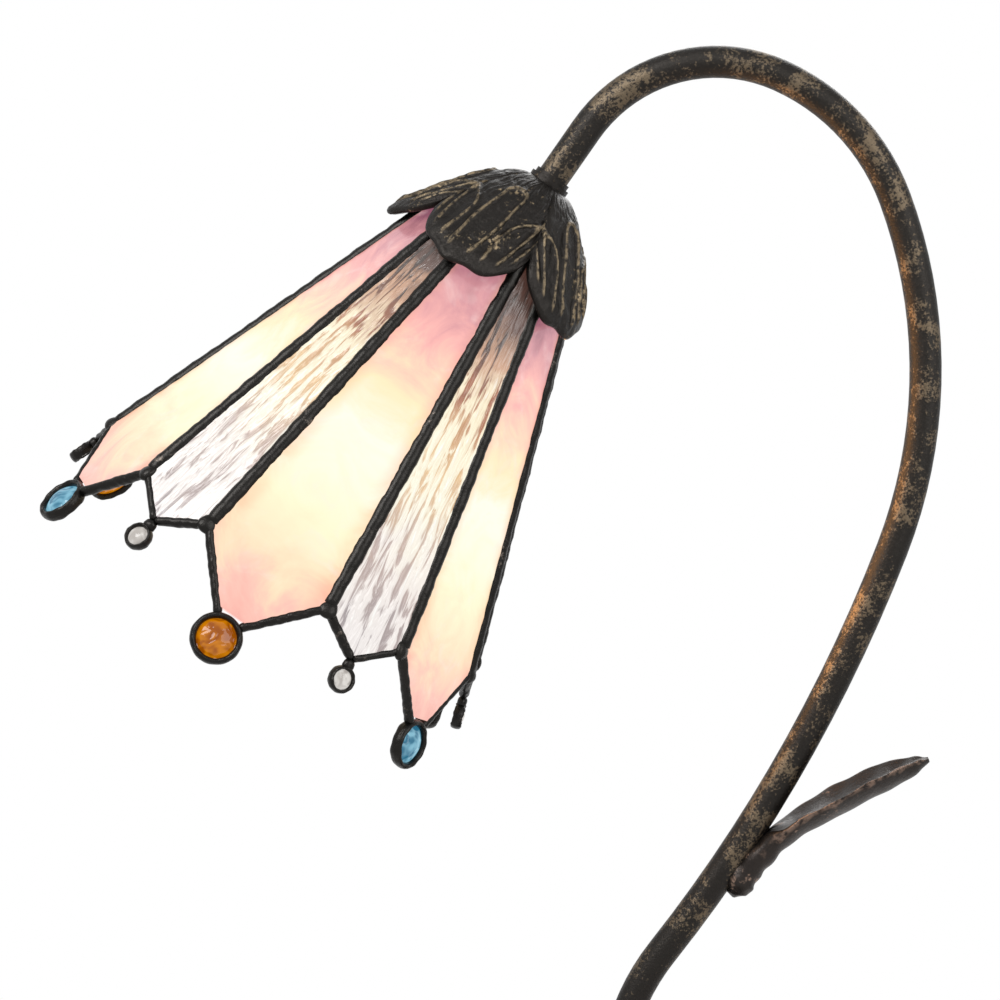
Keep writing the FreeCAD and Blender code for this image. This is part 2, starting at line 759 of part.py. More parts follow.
# Bulb: tip contact, insulator, screw shell, globe and filaments.
turned("bulb_contact", [
    ("0", "bulb_tip"),
    ("bulb_tip_radius / 2", "bulb_tip"),
    ("bulb_tip_radius", "bulb_tip + bulb_tip_height / 2"),
    ("bulb_tip_radius", "bulb_tip_end"),
    ("0", "bulb_tip_end"),
], shade)
turned("bulb_insulator", [
    ("0", "bulb_insulator_top"),
    ("bulb_tip_radius", "bulb_insulator_top"),
    ("bulb_thread_radius * 0.8", "bulb_shell_top"),
    ("0", "bulb_shell_top"),
], shade)
turned("bulb_shell", [
    ("0", "bulb_shell_top"),
    ("bulb_thread_radius * 0.9", "bulb_shell_top"),
    ("bulb_thread_radius", "bulb_shell_top + bulb_shell_wall * 2"),
    ("bulb_thread_radius", "bulb_shell_end"),
    ("bulb_shell_inner", "bulb_shell_end"),
    ("bulb_shell_inner", "bulb_shell_top + bulb_shell_wall * 2"),
    ("bulb_thread_radius * 0.9 - bulb_shell_wall", "bulb_shell_top + bulb_shell_wall"),
    ("0", "bulb_shell_top + bulb_shell_wall"),
], shade)
neck = value("bulb_shell_inner - thread_clearance")
neck_start = value("bulb_shell_end - neck_length")
neck_end = value("bulb_shell_end + thread_tail")
flare, flare_end = value("flare_radius"), neck_end + value("flare_rise")
sag = (flare - neck) * 0.09
globe, skin = value("bulb_radius"), value("bulb_wall")
globe_centre = flare_end + math.sqrt(globe ** 2 - flare ** 2)
inner_globe = globe - skin
inner_flare = flare - skin
inner_flare_end = globe_centre - math.sqrt(inner_globe ** 2 - inner_flare ** 2)
made("bulb_glass", turned_shape([
    (neck, neck_start),
    (neck, neck_end),
    (((neck + flare) / 2 - sag, (neck_end + flare_end) / 2 + sag), (flare, flare_end)),
    ((globe, globe_centre), (0, globe_centre + globe)),
    (0, globe_centre + inner_globe),
    ((inner_globe, globe_centre), (inner_flare, inner_flare_end)),
    (
        ((neck + flare) / 2 - sag - skin * 0.75, (neck_end + flare_end) / 2 + sag + skin * 0.65),
        (neck - skin, neck_end),
    ),
    (neck - skin, neck_start),
]), shade)
mount_end = neck_start + value("mount_height")
mount_foot = neck - skin - value("thread_clearance")
post, rise = value("mount_radius"), value("mount_height")
made("bulb_mount", turned_shape([
    (0, neck_start),
    (mount_foot, neck_start),
    ((mount_foot * 0.45, neck_start + rise * 0.18), (post * 1.33, neck_start + rise / 2)),
    (post, mount_end),
    (0, mount_end),
]), shade)
thread, ring = value("filament_radius"), value("filament_ring")
wire = thread * 0.4
hub_height = value("filament_height")
filament_parts = [
    Part.makeCylinder(post, thread * 2, Vector(0, 0, mount_end)),
    Part.makeCylinder(thread, hub_height, Vector(0, 0, mount_end)),
    Part.makeCylinder(post, thread * 2, Vector(0, 0, mount_end + hub_height)),
]
for quarter in range(4):
    out = Rotation(Vector(0, 0, 1), quarter * 90 + 45).multVec(Vector(1, 0, 0))
    foot = out * ring + Vector(0, 0, mount_end + thread)
    filament_parts.append(Part.makeCylinder(thread, hub_height, foot))
    for height in (0, hub_height):
        start = Vector(0, 0, mount_end + thread + height)
        filament_parts.append(Part.makeCylinder(wire, ring, start, out))
made("bulb_filaments", filament_parts[0].multiFuse(filament_parts[1:]), shade)

# Leaf: a thick stalk laid along the tube, which bends out into a thin cupped blade.
leaf_spot = Part.Wire(stem_edges).discretize(Distance=value("leaf_station"))[1]
stalk, blade = math.radians(value("stalk_heading")), math.radians(value("leaf_heading"))
bend_length = value("stalk_radius") * (stalk - blade)
stalk_run = value("stalk_length") / 2
leaf_run = stalk_run + bend_length + value("leaf_length")
droop = math.radians(value("leaf_droop"))


def leaf_heading_at(length):
    if length < stalk_run:
        return stalk
    if length < stalk_run + bend_length:
        return stalk - (length - stalk_run) / value("stalk_radius")
    return blade - droop * (length - stalk_run - bend_length) / value("leaf_length")


def leaf_section(spot, heading, half, edge_height, edge, rib_low, rib_high):
    # crescent across the leaf: two arcs joined by thin edges
    up = Vector(-math.sin(heading), 0, math.cos(heading))
    wide = Vector(0, half, 0)
    high, low = up * edge_height, up * (edge_height - edge)
    top = Part.Arc(spot - wide + high, spot + up * rib_high, spot + wide + high).toShape()
    right = Part.LineSegment(spot + wide + high, spot + wide + low).toShape()
    bottom = Part.Arc(spot + wide + low, spot + up * rib_low, spot - wide + low).toShape()
    left = Part.LineSegment(spot - wide + low, spot - wide + high).toShape()
    return Part.Wire([top, right, bottom, left])


leaf_sections = []
fine, stations = 400, 11
spot = leaf_spot + Vector(value("leaf_standoff"), 0, -value("stalk_length") / 2)
stalk_half, thick = value("stalk_half"), value("stalk_thickness")
cup, thin = value("leaf_cup"), value("leaf_thickness")
for count in range(fine + 1):
    length = leaf_run * count / fine
    heading = leaf_heading_at(length)
    if count % (fine // (stations - 1)) == 0:
        # along runs 0 to 1 over the blade, and the stalk swells from a rounded end
        along = max(0.0, (length - stalk_run) / (leaf_run - stalk_run))
        swell = min(1.0, 0.62 + 0.38 * length / stalk_run)
        spread = math.sin(math.pi * along ** 0.85)
        half = stalk_half * swell * (1 - 0.75 * along) + (value("leaf_half") - stalk_half / 2) * spread
        body = thin + (thick * swell - thin) * max(0.0, 1 - along * 2.6) ** 1.4
        lift = cup * (0.1 + 0.9 * math.sin(math.pi * along) ** 0.7) * min(1.0, along * 4)
        edge = max(value("leaf_edge"), body * 0.5)
        middle = (body + lift) / 2
        leaf_sections.append(leaf_section(
            spot, heading, half, lift + edge / 2 + body / 2 - middle, edge, -middle, body - middle,
        ))
    spot = spot + Vector(math.cos(heading), 0, math.sin(heading)) * (leaf_run / fine)
leaf_solid = Part.makeLoft(leaf_sections, True, False)
made("leaf", largest(leaf_solid.cut(tube_outside)))

# Base casting: skirt, low dome and neck, hollow underneath with a central boss.
radius, top, skirt = value("base_radius"), value("base_height"), value("skirt_height")
thickness, neck_out, neck_flare = value("base_wall"), value("neck_radius"), value("neck_flare")
felt = value("felt_thickness")
dome_rise = top - skirt


def dome_stops(inset):
    # the dome's outline from skirt to neck, drawn in by inset
    span = radius - neck_out
    return [
        (radius - inset, skirt - inset * 0.4),
        ((radius - span * 0.05 - inset * 0.9, skirt + dome_rise * 0.2 - inset * 0.6),
         (radius - span * 0.19 - inset * 0.5, skirt + dome_rise * 0.33 - inset * 0.9)),
        ((radius - span * 0.47 - inset * 0.2, skirt + dome_rise * 0.47 - inset),
         (neck_out + span * 0.24, skirt + dome_rise * 0.56 - inset)),
    ]


casting = turned_shape(
    [(0, felt), (radius, felt)] + dome_stops(0)
    + [((neck_out + neck_flare, skirt + dome_rise * 0.7), (neck_out, top)), (0, top)]
)
boss = value("boss_radius")
hollow = turned_shape(
    [(boss, felt), (radius - thickness, felt)] + dome_stops(thickness)
    + [(boss, skirt + dome_rise * 0.56 - thickness)]
)
below_boss = Part.makeCylinder(boss, value("boss_bottom") - felt, Vector(0, 0, felt))
stem_bore = Part.makeCylinder(hole, top)
stem_seat = Part.makeCylinder(
    value("tube_radius + seat_clearance"), value("tube_seat"), Vector(0, 0, value("tube_bottom"))
)
inlet_hole = Part.makeCylinder(
    value("bushing_radius"), radius, Vector(0, radius / 2, value("inlet_height")), Vector(0, 1, 0)
)
made("base_casting", casting.cut([hollow, below_boss, stem_bore, stem_seat, inlet_hole]))

turned("base_nipple", [
    ("nipple_bore", "thread_bottom"),
    ("thread_radius", "thread_bottom"),
    ("thread_radius", "thread_top"),
    ("nipple_bore", "thread_top"),
])
hex_nut("base_lock_nut", "base_nut_bottom", "base_nut_height", Placement())
for name, ring_out, bottom, height in (
    ("base_washer", "washer_radius", "washer_bottom", "washer_thickness"),
    ("base_weight", "weight_radius", "weight_bottom", "weight_thickness"),
):
    turned(name, [
        ("thread_hole", bottom),
        (ring_out, bottom),
        (ring_out, f"{bottom} + {height}"),
        ("thread_hole", f"{bottom} + {height}"),
    ])
turned("base_cover", [
    ("0", "felt_thickness"),
    ("cover_radius", "felt_thickness"),
    ("cover_radius", "cover_top"),
    ("0", "cover_top"),
])
turned("felt_pad", [
    ("0", "0"),
    ("base_radius - felt_margin", "0"),
    ("base_radius - felt_margin", "felt_thickness"),
    ("0", "felt_thickness"),
])
turned("cord_bushing", [
    ("inlet_bore", "base_radius - base_wall * 2"),
    ("bushing_radius - thread_clearance", "base_radius - base_wall * 2"),
    ("bushing_radius - thread_clearance", "base_radius"),
    ("bushing_flange_radius", "base_radius"),
    ("bushing_flange_radius", "base_radius + bushing_flange"),
    ("inlet_bore", "base_radius + bushing_flange"),
], Placement(Vector(0, 0, value("inlet_height")), Rotation(Vector(1, 0, 0), -90)))
block = doc.addObject("Part::Box", "terminal_block")
block.setExpression("Length", bind("block_length"))
block.setExpression("Width", bind("block_width"))
block.setExpression("Height", bind("block_height"))
keep(block, "terminal_block", Placement(
    Vector(value("-block_length / 2"), value("block_offset"), value("cover_top")), Rotation(),
))

doc.recompute()
failed = [o.Name for o in doc.Objects if {"Invalid", "Error"} & set(o.State)]
for piece in pieces:
    shape = piece.Shape
    if shape.isNull() or not shape.isValid() or not shape.Solids:
        failed.append(piece.Label)
if failed:
    raise RuntimeError("not built: " + ", ".join(failed))
for piece in pieces:
    piece.Shape.exportStep(f"parts/{piece.Label}.step")
print(len(pieces), "pieces written")
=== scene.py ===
import math

import bpy
import numpy as np
from mathutils import Matrix


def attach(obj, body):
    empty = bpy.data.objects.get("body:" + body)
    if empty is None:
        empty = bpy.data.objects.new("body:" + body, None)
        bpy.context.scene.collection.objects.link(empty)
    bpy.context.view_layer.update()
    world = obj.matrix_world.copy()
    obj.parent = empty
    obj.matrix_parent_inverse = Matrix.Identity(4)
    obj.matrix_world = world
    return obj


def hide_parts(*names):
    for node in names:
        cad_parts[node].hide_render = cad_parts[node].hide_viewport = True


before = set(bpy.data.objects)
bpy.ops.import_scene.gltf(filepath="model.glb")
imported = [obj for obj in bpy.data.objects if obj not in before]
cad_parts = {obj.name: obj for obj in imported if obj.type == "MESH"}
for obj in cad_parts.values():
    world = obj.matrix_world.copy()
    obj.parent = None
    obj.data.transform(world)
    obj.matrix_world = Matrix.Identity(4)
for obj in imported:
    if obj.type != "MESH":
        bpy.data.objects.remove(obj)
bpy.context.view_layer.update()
print("stage: frame loaded")

# The shade's own frame within the lamp, in metres: its origin at the collar, and its three axes.
collar = np.array([-0.0273091, 0.0, 0.4235341])
shadeAxes = np.array([[0, -1, 0], [-0.819152, 0, 0.573576], [-0.573576, 0, -0.819152]])
apex, slope, wideHalf = -0.05616, 0.37787, math.radians(18)


def fromShade(points):
    # collar plus each coordinate times its axis
    return collar + np.asarray(points) @ shadeAxes


def addMesh(name, grids, material):
    # one object from grids of points; a grid closed in its first direction wraps there
    verts, faces, start = [], [], 0
    for grid, wrap in grids:
        rows, cols = grid.shape[:2]
        index = start + np.arange(rows * cols).reshape(rows, cols)
        if wrap:
            index = np.vstack([index, index[:1]])
        quads = np.stack([index[:-1, :-1], index[1:, :-1], index[1:, 1:], index[:-1, 1:]], -1)
        verts.append(grid.reshape(-1, 3))
        faces.append(quads.reshape(-1, 4))
        start += rows * cols
    mesh = bpy.data.meshes.new(name)
    mesh.from_pydata(np.vstack(verts).tolist(), [], np.vstack(faces).tolist())
    mesh.validate()
    mesh.shade_smooth()
    piece = bpy.data.objects.new(name, mesh)
    bpy.context.scene.collection.objects.link(piece)
    mesh.materials.append(material)
    return piece


class Value:
    # wraps a shader socket, so that formulas read as sums and products
    def __init__(self, tree, socket):
        self.tree, self.socket = tree, socket

    def math(self, kind, *others):
        out = node(self.tree, "ShaderNodeMath", operation=kind)
        for place, entry in zip(out.inputs, (self,) + others):
            feed(self.tree, place, entry)
        return Value(self.tree, out.outputs[0])

    def __add__(self, other): return self.math("ADD", other)
    def __radd__(self, other): return self.math("ADD", other)
    def __mul__(self, other): return self.math("MULTIPLY", other)
    def __rmul__(self, other): return self.math("MULTIPLY", other)
    def __sub__(self, other): return self.math("SUBTRACT", other)
    def __rsub__(self, other): return (self * -1) + other
    def __truediv__(self, other): return self.math("DIVIDE", other)
    def __pow__(self, other): return self.math("POWER", other)

    def step(self, low, high):
        # smooth rise from 0 at low to 1 at high
        out = node(self.tree, "ShaderNodeMapRange", interpolation_type="SMOOTHSTEP")
        feed(self.tree, out.inputs["Value"], self)
        out.inputs["From Min"].default_value, out.inputs["From Max"].default_value = low, high
        return Value(self.tree, out.outputs["Result"])


def node(tree, kind, **settings):
    made = tree.nodes.new(kind)
    for key, entry in settings.items():
        setattr(made, key, entry)
    return made


def feed(tree, place, entry):
    if isinstance(entry, Value):
        tree.links.new(entry.socket, place)
    else:
        place.default_value = entry


def linear(red, green, blue):
    # screen colour from 0 to 255 as linear light
    shares = (c / 255 for c in (red, green, blue))
    return tuple(c / 12.92 if c < 11 / 255 else ((c + 0.055) / 1.055) ** 2.4 for c in shares) + (1,)


class Finish:
    # one procedural material and its shorthand
    def __init__(self, name, **constants):
        self.material = bpy.data.materials.new(name)
        self.material.use_nodes = True
        self.tree = self.material.node_tree
        self.shader = self.tree.nodes["Principled BSDF"]
        self.set(**constants)
        coords = node(self.tree, "ShaderNodeTexCoord")
        self.spot = Value(self.tree, coords.outputs["Object"])

    def set(self, **entries):
        for key, entry in entries.items():
            feed(self.tree, self.shader.inputs[key.replace("_", " ")], entry)

    def vector(self, kind, one, other):
        out = node(self.tree, "ShaderNodeVectorMath", operation=kind)
        feed(self.tree, out.inputs[0], one)
        feed(self.tree, out.inputs[1], other)
        return Value(self.tree, out.outputs["Value" if kind == "DOT_PRODUCT" else "Vector"])

    def noise(self, size, detail=3.0, roughness=0.5, vector=None, distortion=0.0):
        # features about size metres across
        out = node(self.tree, "ShaderNodeTexNoise")
        feed(self.tree, out.inputs["Vector"], vector or self.spot)
        for key, entry in (("Scale", 1 / size), ("Detail", detail), ("Roughness", roughness),
                           ("Distortion", distortion)):
            out.inputs[key].default_value = entry
        return Value(self.tree, out.outputs["Fac"])

    def blend(self, share, one, other):
        out = node(self.tree, "ShaderNodeMix", data_type="RGBA")
        feed(self.tree, out.inputs[0], share)
        feed(self.tree, out.inputs[6], one)
        feed(self.tree, out.inputs[7], other)
        return Value(self.tree, out.outputs[2])

    def ramp(self, share, stops):
        out = node(self.tree, "ShaderNodeValToRGB")
        feed(self.tree, out.inputs[0], share)
        elements = out.color_ramp.elements
        while len(elements) < len(stops):
            elements.new(1.0)
        for element, (place, color) in zip(elements, stops):
            element.position, element.color = place, color
        return Value(self.tree, out.outputs[0])

    def bump(self, height, strength, distance):
        out = node(self.tree, "ShaderNodeBump")
        out.inputs["Strength"].default_value, out.inputs["Distance"].default_value = strength, distance
        feed(self.tree, out.inputs["Height"], height)
        self.set(Normal=Value(self.tree, out.outputs[0]))

    def shade(self):
        # depth below the collar, and the turn about the shade's axis in panels, 0 at a wide one
        local = self.vector("SUBTRACT", self.spot, tuple(collar))
        x, y, depth = (self.vector("DOT_PRODUCT", local, tuple(axis)) for axis in shadeAxes)
        turn = y.math("ARCTAN2", x) / (math.pi / 3)
        return depth, turn


print("stage: materials")

# Opal glass, its emission a painted glow of the bulb's light through it: pink by the cap, cream round the
# bulb, peach to pink at the tips, peach near the seams, with milky streaks.
opalLook = {"streak": 0.03, "curl": 0.012, "gain": 0.93, "reach": 0.215}
opal = Finish("pinkOpal", Roughness=0.22, Coat_Weight=0.5, Coat_Roughness=0.08, IOR=1.5)
depth, turn = opal.shade()
streaks = opal.noise(opalLook["streak"], 4, 0.6, distortion=1.6)
curls = opal.noise(opalLook["curl"], 3, 0.6, distortion=0.8)
side = turn - turn.math("ROUND")
edge = side.math("ABSOLUTE").step(0.17, 0.31)
# near the seams the painted glow is shifted along the shade
place = depth + (streaks - 0.5) * 0.05 + edge * (depth.step(0.10, 0.20) * 0.03 - 0.012)
# painted glow along the shade: creamiest round the bulb, pinker towards the cap and the tips
glow = opal.ramp(place / opalLook["reach"], [
    (0.16, linear(150, 92, 112)), (0.25, linear(206, 140, 152)), (0.33, linear(246, 176, 172)),
    (0.40, linear(252, 212, 184)), (0.46, linear(252, 236, 190)), (0.56, linear(255, 254, 236)),
    (0.70, linear(254, 248, 208)), (0.81, linear(252, 222, 186)), (0.88, linear(247, 190, 176)),
    (1.0, linear(228, 148, 142)),
])
# painted peach glow near the seams, where the streaks run
peach = opal.blend((edge * 0.62) * streaks.step(0.3, 0.65), glow, linear(243, 170, 122))
# the opal's milky streaks laid over the painted glow
glowAndStreaks = opal.blend(curls.step(0.5, 0.8) * 0.3, peach, linear(255, 236, 232))
opal.set(Base_Color=(0.12, 0.065, 0.05, 1), Emission_Color=glowAndStreaks, Emission_Strength=opalLook["gain"])
opal.bump(curls * 0.5 + streaks, 0.35, 0.0012)

# Clear rippled glass, its emission a painted view through it and of the bulb's glow: brown ripples where the
# socket shows in shade, light round the bulb, grey below, with painted glints.
clearLook = {"ripple": 0.0034, "stretch": 0.17, "drift": 0.02, "gain": 0.9, "reach": 0.2}
clear = Finish("rippledGlass", Roughness=0.1, Coat_Weight=0.35, Coat_Roughness=0.04, IOR=1.5)
depth, turn = clear.shade()
across = (turn - turn.math("FLOOR") - 0.5) * (depth - apex) * slope * (math.pi / 3)
grain = node(clear.tree, "ShaderNodeCombineXYZ")
feed(clear.tree, grain.inputs[0], across)
feed(clear.tree, grain.inputs[1], depth * clearLook["stretch"])
feed(clear.tree, grain.inputs[2], turn * 0.05)
ripples = clear.noise(clearLook["ripple"], 3, 0.6, Value(clear.tree, grain.outputs[0]), 0.55)
drift = clear.noise(clearLook["drift"], 2, 0.5, distortion=1.0)
place = depth + (drift - 0.5) * 0.04
# painted light ripples: the lit inside seen through the glass, brightest round the bulb
light = clear.ramp(place / clearLook["reach"], [
    (0.14, linear(40, 26, 22)), (0.26, linear(88, 54, 44)), (0.34, linear(206, 158, 126)),
    (0.43, linear(252, 238, 204)), (0.62, linear(254, 248, 226)), (0.78, linear(246, 238, 232)),
    (1.0, linear(236, 231, 230)),
])
# painted dark ripples: the shaded socket and cap seen through the glass, greyer below
dark = clear.ramp(place / clearLook["reach"], [
    (0.14, linear(26, 18, 17)), (0.32, linear(54, 28, 21)), (0.42, linear(168, 96, 56)),
    (0.56, linear(232, 192, 138)), (0.74, linear(190, 168, 160)), (1.0, linear(138, 134, 142)),
])
waves = clear.blend(ripples.step(0.4, 0.5), dark, light)
# painted white glints on the ripples, below the cap
paintedGlints = clear.blend(ripples.step(0.6, 0.7) * depth.step(0.05, 0.09) * 0.85, waves, (1, 1, 0.97, 1))
clear.set(Base_Color=(0.07, 0.065, 0.06, 1), Emission_Color=paintedGlints,
          Emission_Strength=clearLook["gain"])
clear.bump(ripples, 0.8, 0.002)


def jewelGlass(name, core, rim, gain):
    # painted glow: its emission is bright in places and darker in others, as a faceted lens lit from behind
    jewel = Finish(name, Roughness=0.06, IOR=1.45)
    cells = jewel.noise(0.006, 1, 0.4, distortion=1.5)
    jewel.set(
        Base_Color=tuple(c * 0.3 for c in rim[:3]) + (1,),
        Emission_Color=jewel.blend(cells.step(0.35, 0.65), rim, core), Emission_Strength=gain,
    )
    jewel.bump(cells, 0.5, 0.0015)
    return jewel.material


amberGlass = jewelGlass("amberGlass", linear(214, 132, 4), linear(150, 76, 0), 0.75)
blueGlass = jewelGlass("blueGlass", linear(150, 208, 228), linear(44, 112, 142), 0.7)
clearJewel = jewelGlass("clearJewel", linear(250, 246, 240), linear(190, 184, 178), 0.6)


def patina(name, dark, rubbed, share, rough, grain=0.012, depth=0.0006, metal=0.75, relief=False, lobes=0):
    # dark bronze with rubbed flecks where two noises agree, and on the raised parts of a relief
    bronze = Finish(name)
    broad = bronze.noise(grain * 4, 4, 0.6)
    fine = bronze.noise(grain * 0.35, 5, 0.65)
    flecks = (broad * 0.55 + fine * 0.45).step(share, share + 0.07)
    if relief:
        raised = node(bronze.tree, "ShaderNodeAttribute", attribute_name="raised")
        worn = Value(bronze.tree, raised.outputs["Fac"]).step(0.4, 0.9) * fine.step(0.36, 0.58)
        flecks = flecks.math("MAXIMUM", worn * 0.55)
    tone = bronze.blend(fine, dark, tuple(c * 1.9 for c in dark[:3]) + (1,))
    bronze.set(Base_Color=bronze.blend(flecks, tone, rubbed), Metallic=metal,
               Roughness=rough + (fine - 0.5) * 0.25)
    height = fine + broad * 0.6
    if lobes:
        # rounded ribs that run out from the middle of the base
        x, y = (bronze.vector("DOT_PRODUCT", bronze.spot, axis) for axis in ((1, 0, 0), (0, 1, 0)))
        out = (x * x + y * y) ** 0.5
        rib = (y.math("ARCTAN2", x) * (lobes / 2)).math("SINE").math("ABSOLUTE")
        height = height + rib * out.step(0.022, 0.04) * (1 - out.step(0.062, 0.07)) * 4
    bronze.bump(height, 0.5, depth)
    return bronze.material


darkBronze = (0.012, 0.0102, 0.0088, 1)
stemFinish = patina(
    "stemBronze", (0.013, 0.0112, 0.0096, 1), (0.13, 0.098, 0.064, 1), 0.515, 0.4, 0.0032, 0.0006,
)
castFinish = patina("castBronze", darkBronze, (0.16, 0.115, 0.065, 1), 0.57, 0.4, 0.006, 0.0008)
baseFinish = patina("baseBronze", darkBronze, (0.14, 0.1, 0.06, 1), 0.56, 0.4, 0.005, 0.0009, lobes=30)
capFinish = patina("capBronze", darkBronze, (0.33, 0.25, 0.15, 1), 0.6, 0.36, 0.006, 0.0012, relief=True)
leafFinish = patina(
    "leafBronze", (0.018, 0.0145, 0.0128, 1), (0.3, 0.2, 0.15, 1), 0.56, 0.36, 0.01, 0.0007, relief=True,
)
solderFinish = patina("blackSolder", (0.01, 0.009, 0.008, 1), (0.12, 0.10, 0.085, 1), 0.6, 0.3, 0.006, 0.0005)


def plain(name, color, rough, metal, grain, emission=None):
    # lightly uneven colour and roughness
    surface = Finish(name, Metallic=metal)
    speck = surface.noise(grain, 4, 0.6)
    surface.set(Base_Color=surface.blend(speck, color, tuple(min(1, c * 1.35) for c in color[:3]) + (1,)),
                Roughness=rough + (speck - 0.5) * 0.15)
    if emission:
        surface.set(Emission_Color=emission, Emission_Strength=1.0)
    surface.bump(speck, 0.15, 0.0003)
    return surface.material


brass = plain("brassSheet", (0.5, 0.32, 0.1, 1), 0.35, 1.0, 0.004)
zinc = plain("zincSteel", (0.42, 0.42, 0.4, 1), 0.42, 1.0, 0.003)
blackPlastic = plain("holderPlastic", (0.012, 0.011, 0.01, 1), 0.45, 0.0, 0.003)
board = plain("linerBoard", (0.3, 0.2, 0.11, 1), 0.8, 0.0, 0.002)
aluminium = plain("bulbShell", (0.7, 0.7, 0.7, 1), 0.3, 1.0, 0.004)
ceramic = plain("ceramic", (0.72, 0.7, 0.64, 1), 0.35, 0.0, 0.004)
felt = plain("felt", (0.02, 0.035, 0.02, 1), 0.95, 0.0, 0.0008)
iron = plain("weightIron", (0.06, 0.055, 0.05, 1), 0.6, 0.6, 0.004)
glowing = plain("litBulb", (0.9, 0.88, 0.8, 1), 0.3, 0.0, 0.02, (1, 0.93, 0.72, 1))

finishes = {
    "pink_panel": opal.material, "clear_panel": clear.material, "amber_jewel": amberGlass,
    "blue_jewel": blueGlass, "clear_jewels": clearJewel, "seam_frame": solderFinish,
    "tip_frames": solderFinish, "stem_tube": stemFinish, "collar_ring": castFinish,
    "petal_cap": castFinish, "leaf": leafFinish, "base_casting": baseFinish, "stem_lead": blackPlastic,
    "holder_cap": brass, "holder_shell": brass, "spacer": brass, "screw_shell": brass,
    "centre_contact": brass, "terminal_screws": brass, "holder_body": blackPlastic,
    "switch_key": blackPlastic, "cord_bushing": blackPlastic,
    "holder_liner": board, "bulb_shell": aluminium, "bulb_contact": zinc, "bulb_insulator": blackPlastic,
    "bulb_glass": glowing, "bulb_mount": glowing, "bulb_filaments": glowing, "felt_pad": felt,
    "base_weight": iron, "terminal_block": ceramic,
}
for name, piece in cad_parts.items():
    match = next((key for key in finishes if name.startswith(key)), None)
    piece.data.materials.clear()
    piece.data.materials.append(finishes[match] if match else zinc)

print("stage: solder")


def beadTube(start, end, outward, width, height, seed):
    # elliptical bead whose size wanders along it, rounded off at both ends
    along = np.linspace(0, 1, 90)[None, :, None]
    turn = np.linspace(0, 2 * np.pi, 24, endpoint=False)[:, None, None]
    run = end - start
    side = np.cross(run, outward)
    side /= np.linalg.norm(side)
    up = np.cross(side, run)
    up /= np.linalg.norm(up)
    length = np.linalg.norm(run)
    s = along * length * 1000
    lump = (1 + 0.05 * np.sin(s * 0.23 + 2 * np.sin(s * 0.061 + seed))
            + 0.04 * np.sin(s * 0.71 + turn + seed * 5)
            + 0.03 * np.sin(s * 1.37 + 3 * np.sin(s * 0.19 + seed) + 2 * turn))
    tip = np.clip(np.minimum(along, 1 - along) * length / (height / 2), 0, 1)
    cap = np.sqrt(1 - (1 - tip) ** 2)
    ring = side * np.cos(turn) * width / 2 + up * np.sin(turn) * height / 2
    return start + run * along + ring * lump * cap, True


def beadRing(centre, across, down, outward, radius, width, height, seed):
    # a rounded ring round a jewel
    around = np.linspace(0, 2 * np.pi, 72, endpoint=False)[:, None, None]
    turn = np.linspace(0, 2 * np.pi, 17)[None, :, None]
    spoke = across * np.cos(around) + down * np.sin(around)
    lump = 1 + 0.05 * np.sin(around * 5 + seed) + 0.04 * np.sin(around * 11 + seed * 3)
    ring = spoke * (radius + np.cos(turn) * width / 2 * lump) + outward * np.sin(turn) * height / 2 * lump
    return centre + ring, True


def blob(centre, outward, across, down, radius, height, seed):
    # a flattened drop of solder on a corner
    around = np.linspace(0, 2 * np.pi, 32, endpoint=False)[:, None, None]
    rise = np.linspace(-np.pi / 2, np.pi / 2, 17)[None, :, None]
    swell = 1 + 0.06 * np.sin(around * 3 + seed)
    spoke = (across * np.cos(around) + down * np.sin(around)) * np.cos(rise) * radius * swell
    return centre + spoke + outward * np.sin(rise) * height / 2, True


def panelAxes(azimuth, half):
    # across the panel, down its middle and outwards, in the shade frame
    lean = math.atan(slope * math.cos(half))
    across = np.array([-math.sin(azimuth), math.cos(azimuth), 0])
    down = np.array([math.sin(lean) * math.cos(azimuth), math.sin(lean) * math.sin(azimuth), math.cos(lean)])
    return across, down, np.cross(across, down), lean


def panelPoint(azimuth, half, depth, offset=0.0):
    across, down, outward, lean = panelAxes(azimuth, half)
    return np.array([0, 0, apex]) + down * (depth - apex) / math.cos(lean) + across * offset


